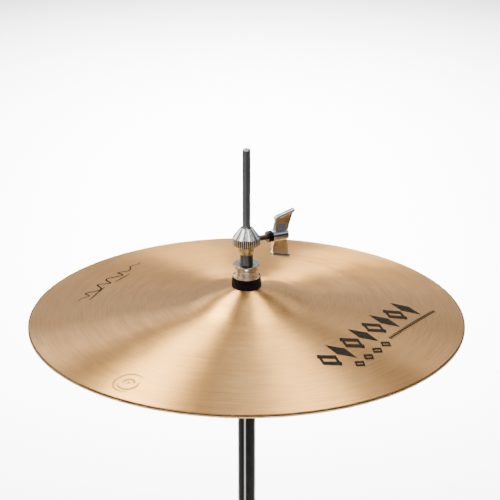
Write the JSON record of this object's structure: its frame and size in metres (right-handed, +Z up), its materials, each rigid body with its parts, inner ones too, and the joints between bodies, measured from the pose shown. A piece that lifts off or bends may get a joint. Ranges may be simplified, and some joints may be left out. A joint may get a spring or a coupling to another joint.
{
  "type": "hi-hat stand with cymbals",
  "caption": "Closed pair of bronze cymbals on a telescoping tripod stand, with a clutch on the pull rod and a foot pedal that parts them through a chain and return spring.",
  "frame": {"origin": "on the pull rod's axis, at floor level, in the underside of the floor mat", "axes": "+Z up along the pull rod; -Y towards the player's heel; +X to the player's right when facing the stand"},
  "size_m": [0.548, 0.624, 1.0058],
  "materials": {
    "bronze": "lathed and polished bronze",
    "chrome": "polished chrome plate",
    "dark_steel": "blackened steel",
    "black_felt": "pressed felt",
    "zinc_steel": "bright zinc plate",
    "chain_steel": "oiled steel",
    "black_nylon": "moulded nylon",
    "cast_metal": "tumbled die casting",
    "black_steel": "black powder coat",
    "rubber": "moulded rubber"
  },
  "bodies": {
    "stand": {"yoke": "cast_metal", "base_plate": "black_steel", "floor_mat": "rubber", "plate_screws": "zinc_steel", "heel_plate": "cast_metal", "hinge_pin": "chrome", "lower_tube": "chrome", "tube_screw": "zinc_steel", "height_clamp": "cast_metal", "clamp_bushing": "black_nylon", "clamp_nut": "chrome", "leg_pins": "zinc_steel", "spring_seat": "black_nylon"},
    "column": {"upper_tube": "chrome", "rod_guide": "black_nylon", "seat_cup": "chrome", "seat_screw": "zinc_steel", "seat_sleeve": "black_nylon", "seat_felt": "black_felt", "memory_lock": "chrome", "memory_lock_screw": "zinc_steel"},
    "bottom_cymbal": {"bottom_cymbal": "bronze"},
    "pull_rod": {"upper_pull_rod": "chrome", "rod_coupler": "chrome", "lower_pull_rod": "zinc_steel", "spring_collar": "dark_steel", "rod_clevis": "chain_steel", "return_spring": "dark_steel"},
    "chain": {"chain_link_plates": "chain_steel", "chain_pins": "chain_steel", "chain_rollers": "chain_steel"},
    "pedal": {"footboard": "cast_metal", "footboard_grips": "rubber", "toe_bracket": "chain_steel", "toe_bracket_screws": "zinc_steel"},
    "clutch": {"clutch_body": "chrome", "clutch_sleeve": "dark_steel", "upper_felt": "black_felt", "lower_felt": "black_felt"},
    "top_cymbal": {"top_cymbal": "bronze"},
    "clutch_screw": {"clutch_screw_shank": "dark_steel", "clutch_screw_wing": "chrome"},
    "upper_lock_nut": {"upper_lock_nut": "chrome"},
    "lower_lock_nut": {"lower_lock_nut": "chrome"},
    "bottom_nut": {"bottom_nut": "zinc_steel"},
    "height_bolt": {"height_bolt_shank": "dark_steel", "height_bolt_wing": "chrome"},
    "tension_knob": {"tension_knob": "black_nylon"},
    "leg_front": {"leg_front_strips": "chrome", "leg_front_rivets": "zinc_steel", "leg_front_foot": "rubber"},
    "leg_right": {"leg_right_strips": "chrome", "leg_right_rivets": "zinc_steel", "leg_right_foot": "rubber"},
    "leg_left": {"leg_left_strips": "chrome", "leg_left_rivets": "zinc_steel", "leg_left_foot": "rubber"},
    "spur_left": {"spur_left": "black_steel"},
    "spur_right": {"spur_right": "black_steel"}
  },
  "joints": [
    {"name": "height_slide", "type": "slide", "parent": "stand", "child": "column", "axis": [0, 0, 1], "range_m": [-0.12, 0]},
    {"name": "bottom_cymbal_spin", "type": "hinge", "parent": "column", "child": "bottom_cymbal", "pos_m": [0, 0, 0.82], "axis": [0, 0, 1], "continuous": true},
    {"name": "rod_lift", "type": "slide", "parent": "stand", "child": "pull_rod", "axis": [0, 0, 1], "range_m": [0, 0.03], "stiffness_N_per_m": 1400, "springref_m": 0.055, "deforming": ["return_spring"]},
    {"name": "chain_swing", "type": "hinge", "parent": "pull_rod", "child": "chain", "pos_m": [0, 0, 0.0928], "axis": [1, 0, 0], "range_deg": [-5.2, 0]},
    {"name": "pedal_press", "type": "hinge", "parent": "stand", "child": "pedal", "pos_m": [0, -0.232, 0.02], "axis": [1, 0, 0], "range_deg": [0, 7.6]},
    {"name": "clutch_slide", "type": "slide", "parent": "pull_rod", "child": "clutch", "axis": [0, 0, 1], "range_m": [0, 0.05]},
    {"name": "top_cymbal_spin", "type": "hinge", "parent": "clutch", "child": "top_cymbal", "pos_m": [0, 0, 0.881], "axis": [0, 0, 1], "continuous": true},
    {"name": "clutch_screw_turn", "type": "hinge", "parent": "clutch", "child": "clutch_screw", "pos_m": [0, 0, 0.9226], "axis": [0.9063, 0.4226, 0], "range_deg": [0, 450]},
    {"name": "upper_lock_nut_turn", "type": "hinge", "parent": "clutch", "child": "upper_lock_nut", "pos_m": [0, 0, 0.896], "axis": [0, 0, 1], "range_deg": [0, 720]},
    {"name": "lower_lock_nut_turn", "type": "hinge", "parent": "clutch", "child": "lower_lock_nut", "pos_m": [0, 0, 0.892], "axis": [0, 0, 1], "range_deg": [0, 720]},
    {"name": "bottom_nut_turn", "type": "hinge", "parent": "clutch", "child": "bottom_nut", "pos_m": [0, 0, 0.869], "axis": [0, 0, 1], "range_deg": [-720, 0]},
    {"name": "height_bolt_turn", "type": "hinge", "parent": "stand", "child": "height_bolt", "pos_m": [0.026, 0, 0.485], "axis": [0, -1, 0], "range_deg": [0, 450]},
    {"name": "tension_knob_turn", "type": "hinge", "parent": "stand", "child": "tension_knob", "pos_m": [0, 0, 0.182], "axis": [0, 0, 1], "range_deg": [-360, 360]},
    {"name": "leg_front_fold", "type": "hinge", "parent": "stand", "child": "leg_front", "pos_m": [0, 0.036, 0.152], "axis": [1, 0, 0], "range_deg": [0, 108]},
    {"name": "leg_right_fold", "type": "hinge", "parent": "stand", "child": "leg_right", "pos_m": [0.03118, -0.018, 0.152], "axis": [-0.5, -0.866, 0], "range_deg": [0, 108]},
    {"name": "leg_left_fold", "type": "hinge", "parent": "stand", "child": "leg_left", "pos_m": [-0.03118, -0.018, 0.152], "axis": [-0.5, 0.866, 0], "range_deg": [0, 108]},
    {"name": "spur_left_screw", "type": "slide", "parent": "stand", "child": "spur_left", "axis": [0, 0, 1], "range_m": [0, 0.01]},
    {"name": "spur_right_screw", "type": "slide", "parent": "stand", "child": "spur_right", "axis": [0, 0, 1], "range_m": [0, 0.01]}
  ],
  "couplings": [
    {"joint": "pedal_press", "follows": "rod_lift", "rad_per_m": 4.3636},
    {"joint": "chain_swing", "follows": "rod_lift", "rad_per_m": -2.9714}
  ]
}
